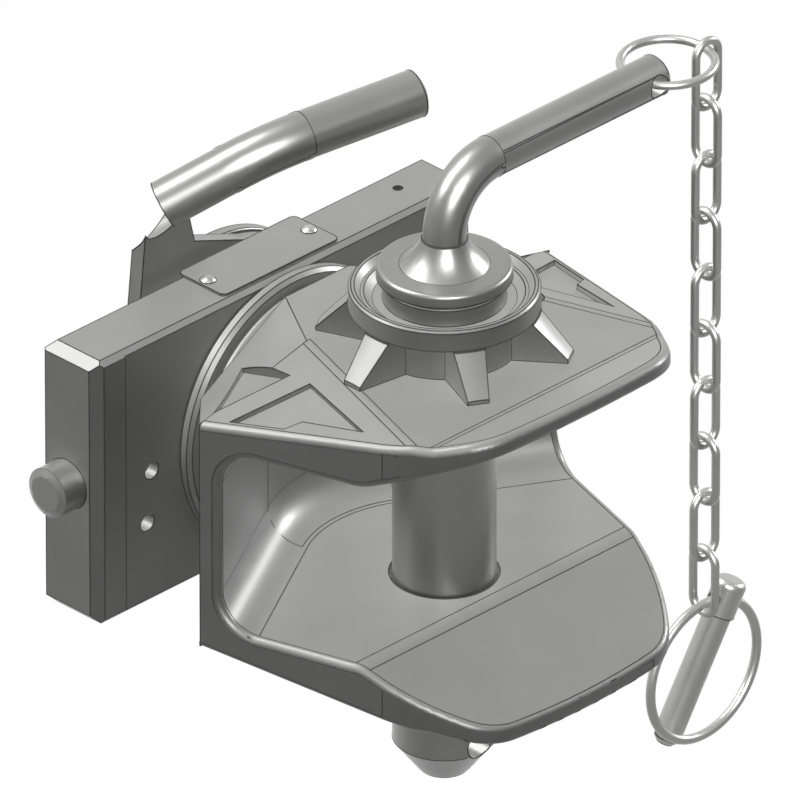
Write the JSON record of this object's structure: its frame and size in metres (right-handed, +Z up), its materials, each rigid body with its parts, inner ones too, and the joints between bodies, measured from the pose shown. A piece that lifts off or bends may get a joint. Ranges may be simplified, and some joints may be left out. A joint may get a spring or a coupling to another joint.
{
  "type": "swivelling clevis hitch coupling",
  "caption": "Height-adjustable clevis hitch: slide plate with lever-drawn locking bolts, swivelling two-lipped jaw, drop pin in a star collar, and a chained lynch pin.",
  "frame": {"origin": "on the jaw's swivel axis, halfway through the slide plate", "axes": "+X to the right across the tractor, -Y forward towards the trailer, +Z up"},
  "size_m": [0.4216, 0.3301, 0.4632],
  "materials": {
    "plate_steel": "satin",
    "forged_steel": "satin, shot-blasted",
    "tube_steel": "satin",
    "turned_steel": "turned",
    "hardened_steel": "ground",
    "bush_steel": "turned",
    "bright_steel": "zinc plated",
    "spring_steel": "oiled"
  },
  "bodies": {
    "slide_block": {"slide_plate": "plate_steel", "front_swivel_bush": "bush_steel", "rear_swivel_bush": "bush_steel", "data_plate": "plate_steel", "data_plate_rivets": "bright_steel", "lever_spring": "spring_steel"},
    "jaw": {"coupling_jaw": "forged_steel", "star_collar": "forged_steel", "upper_pin_bush": "hardened_steel", "lower_pin_bush": "hardened_steel", "thrust_disc": "plate_steel", "castle_nut": "plate_steel", "split_pin": "bright_steel"},
    "lever": {"lever_plate": "plate_steel", "lever_tube": "tube_steel", "lever_tube_plug": "tube_steel"},
    "left_bolt": {"left_locking_bolt": "turned_steel", "left_cam_stud": "turned_steel"},
    "right_bolt": {"right_locking_bolt": "turned_steel", "right_cam_stud": "turned_steel"},
    "pin": {"coupling_pin": "turned_steel", "pin_handle": "tube_steel"},
    "ring": {"handle_ring": "bright_steel"},
    "link_01": {"chain_link_01": "bright_steel"},
    "link_02": {"chain_link_02": "bright_steel"},
    "link_03": {"chain_link_03": "bright_steel"},
    "link_04": {"chain_link_04": "bright_steel"},
    "link_05": {"chain_link_05": "bright_steel"},
    "link_06": {"chain_link_06": "bright_steel"},
    "link_07": {"chain_link_07": "bright_steel"},
    "link_08": {"chain_link_08": "bright_steel"},
    "link_09": {"chain_link_09": "bright_steel"},
    "link_10": {"chain_link_10": "bright_steel"},
    "bail": {"lynch_pin_ring": "bright_steel"},
    "lynch": {"lynch_pin": "bright_steel"}
  },
  "joints": [
    {"name": "jaw_swivel", "type": "hinge", "parent": "slide_block", "child": "jaw", "pos_m": [0, 0, 0], "axis": [0, 1, 0], "continuous": true},
    {"name": "lever_turn", "type": "hinge", "parent": "slide_block", "child": "lever", "pos_m": [0, 0.0285, 0], "axis": [0, 1, 0], "range_deg": [0, 26], "stiffness_Nm_per_rad": 12, "springref_deg": -20.05},
    {"name": "left_bolt_slide", "type": "slide", "parent": "slide_block", "child": "left_bolt", "axis": [1, 0, 0], "range_m": [0, 0.01825]},
    {"name": "right_bolt_slide", "type": "slide", "parent": "slide_block", "child": "right_bolt", "axis": [-1, 0, 0], "range_m": [0, 0.01825]},
    {"name": "pin_lift", "type": "slide", "parent": "jaw", "child": "pin", "axis": [0, 0, 1], "range_m": [0, 0.3]},
    {"name": "ring_swing", "type": "hinge", "parent": "pin", "child": "ring", "pos_m": [0.1587, -0.1485, 0.1955], "axis": [0, 1, 0], "range_deg": [-75, 6]},
    {"name": "link_01_swing", "type": "hinge", "parent": "ring", "child": "link_01", "pos_m": [0.20821, -0.14859, 0.1955], "axis": [0, 1, 0], "range_deg": [-20, 2.5]},
    {"name": "link_02_swing", "type": "hinge", "parent": "link_01", "child": "link_02", "pos_m": [0.20821, -0.14859, 0.1589], "axis": [1, 0, 0], "range_deg": [-20, 5]},
    {"name": "link_03_swing", "type": "hinge", "parent": "link_02", "child": "link_03", "pos_m": [0.20821, -0.14859, 0.1223], "axis": [0, 1, 0], "range_deg": [-20, 2.5]},
    {"name": "link_04_swing", "type": "hinge", "parent": "link_03", "child": "link_04", "pos_m": [0.20821, -0.14859, 0.0857], "axis": [1, 0, 0], "range_deg": [-20, 5]},
    {"name": "link_05_swing", "type": "hinge", "parent": "link_04", "child": "link_05", "pos_m": [0.20821, -0.14859, 0.0491], "axis": [0, 1, 0], "range_deg": [-20, 2.5]},
    {"name": "link_06_swing", "type": "hinge", "parent": "link_05", "child": "link_06", "pos_m": [0.20821, -0.14859, 0.0125], "axis": [1, 0, 0], "range_deg": [-20, 5]},
    {"name": "link_07_swing", "type": "hinge", "parent": "link_06", "child": "link_07", "pos_m": [0.20821, -0.14859, -0.0241], "axis": [0, 1, 0], "range_deg": [-20, 2.5]},
    {"name": "link_08_swing", "type": "hinge", "parent": "link_07", "child": "link_08", "pos_m": [0.20821, -0.14859, -0.0607], "axis": [1, 0, 0], "range_deg": [-20, 5]},
    {"name": "link_09_swing", "type": "hinge", "parent": "link_08", "child": "link_09", "pos_m": [0.20821, -0.14859, -0.0973], "axis": [0, 1, 0], "range_deg": [-20, 2.5]},
    {"name": "link_10_swing", "type": "hinge", "parent": "link_09", "child": "link_10", "pos_m": [0.20821, -0.14859, -0.1339], "axis": [1, 0, 0], "range_deg": [-20, 5]},
    {"name": "bail_swing", "type": "hinge", "parent": "link_10", "child": "bail", "pos_m": [0.20821, -0.14859, -0.1705], "axis": [0, 1, 0], "range_deg": [-35, 60]},
    {"name": "lynch_pin_open", "type": "hinge", "parent": "bail", "child": "lynch", "pos_m": [0.22428, -0.14859, -0.16812], "axis": [0.9272, 0, -0.3746], "range_deg": [0, 120]}
  ],
  "couplings": [
    {"joint": "left_bolt_slide", "follows": "lever_turn", "m_per_rad": 0.040107},
    {"joint": "right_bolt_slide", "follows": "lever_turn", "m_per_rad": 0.040107}
  ]
}
